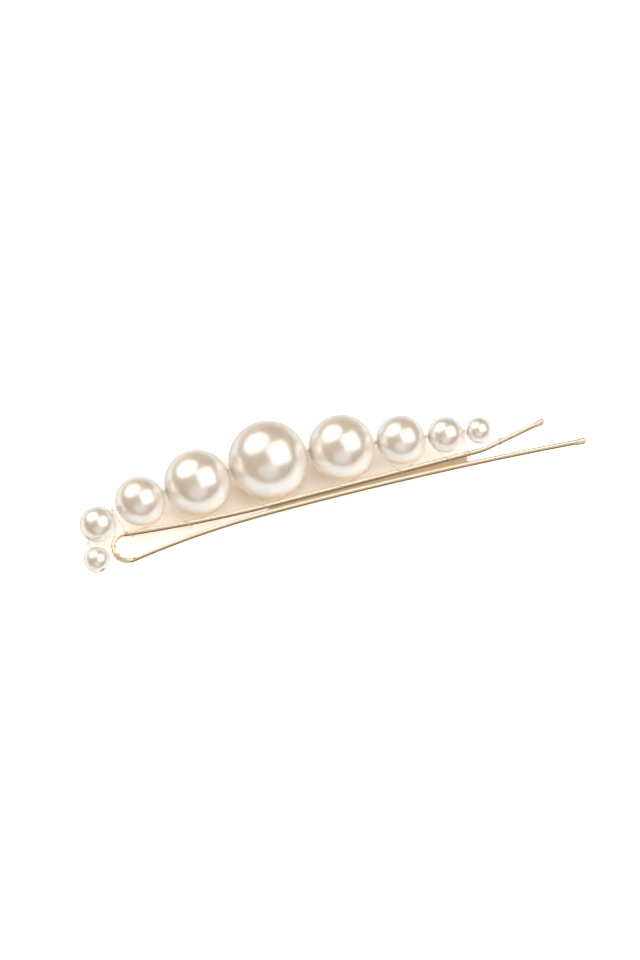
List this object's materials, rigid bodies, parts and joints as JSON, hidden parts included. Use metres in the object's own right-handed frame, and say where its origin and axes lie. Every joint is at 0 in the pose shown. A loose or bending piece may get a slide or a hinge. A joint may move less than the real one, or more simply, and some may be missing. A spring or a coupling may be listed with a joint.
{
  "type": "pearl hair pin",
  "caption": "Flat-wire hair pin with a sprung loop, a flared upper arm and a longer lower arm, and a string of graduated round pearls bound along the upper arm and round the loop with clear thread.",
  "frame": {"origin": "centre of the spring loop, halfway across the width of the strip, where the hair ends up when the pin is pushed home", "axes": "+X along the arms from the loop to the tips; +Y from the arms to the pearls; +Z across the strip's width, which points up when the pin lies on its side"},
  "size_m": [0.0793, 0.0181, 0.012],
  "materials": {
    "gold_strip": "polished champagne gold plating",
    "clear_thread": "clear nylon line",
    "tip_resin": "glossy gold-tinted dipped resin",
    "pearl": "cream white pearl lacquer"
  },
  "bodies": {
    "pin": {"upper_arm": "gold_strip", "spring_loop": "gold_strip", "upper_tip": "tip_resin", "string_thread": "clear_thread", "binding_thread": "clear_thread"},
    "lower_leg": {"lower_arm": "gold_strip", "lower_tip": "tip_resin"},
    "bead_1": {"pearl_1": "pearl"},
    "bead_2": {"pearl_2": "pearl"},
    "bead_3": {"pearl_3": "pearl"},
    "bead_4": {"pearl_4": "pearl"},
    "bead_5": {"pearl_5": "pearl"},
    "bead_6": {"pearl_6": "pearl"},
    "bead_7": {"pearl_7": "pearl"},
    "bead_8": {"pearl_8": "pearl"},
    "bead_9": {"pearl_9": "pearl"}
  },
  "joints": [
    {"name": "arm_opening", "type": "hinge", "parent": "pin", "child": "lower_leg", "pos_m": [-0.00137, 0, 0], "axis": [0, 0, -1], "range_deg": [0, 20], "stiffness_Nm_per_rad": 0.03, "deforming": ["spring_loop"]},
    {"name": "pearl_1_spin", "type": "hinge", "parent": "pin", "child": "bead_1", "pos_m": [-0.00493, -0.00086, 0], "axis": [-0.1991, 0.9763, -0.085], "continuous": true},
    {"name": "pearl_2_spin", "type": "hinge", "parent": "pin", "child": "bead_2", "pos_m": [-0.00345, 0.0046, 0], "axis": [0.7481, 0.6636, 0], "continuous": true},
    {"name": "pearl_3_spin", "type": "hinge", "parent": "pin", "child": "bead_3", "pos_m": [0.00363, 0.00673, 0], "axis": [0.9839, 0.1789, 0], "continuous": true},
    {"name": "pearl_4_spin", "type": "hinge", "parent": "pin", "child": "bead_4", "pos_m": [0.01279, 0.00755, 0], "axis": [0.9961, 0.0883, 0], "continuous": true},
    {"name": "pearl_5_spin", "type": "hinge", "parent": "pin", "child": "bead_5", "pos_m": [0.0242, 0.00855, 0], "axis": [0.9999, 0.0133, 0], "continuous": true},
    {"name": "pearl_6_spin", "type": "hinge", "parent": "pin", "child": "bead_6", "pos_m": [0.03563, 0.00785, 0], "axis": [0.9966, -0.0829, 0], "continuous": true},
    {"name": "pearl_7_spin", "type": "hinge", "parent": "pin", "child": "bead_7", "pos_m": [0.04477, 0.00684, 0], "axis": [0.9936, -0.1133, 0], "continuous": true},
    {"name": "pearl_8_spin", "type": "hinge", "parent": "pin", "child": "bead_8", "pos_m": [0.05167, 0.00602, 0], "axis": [0.9937, -0.1119, 0], "continuous": true},
    {"name": "pearl_9_spin", "type": "hinge", "parent": "pin", "child": "bead_9", "pos_m": [0.05685, 0.00548, 0], "axis": [0.9367, -0.3445, 0.0623], "continuous": true}
  ]
}
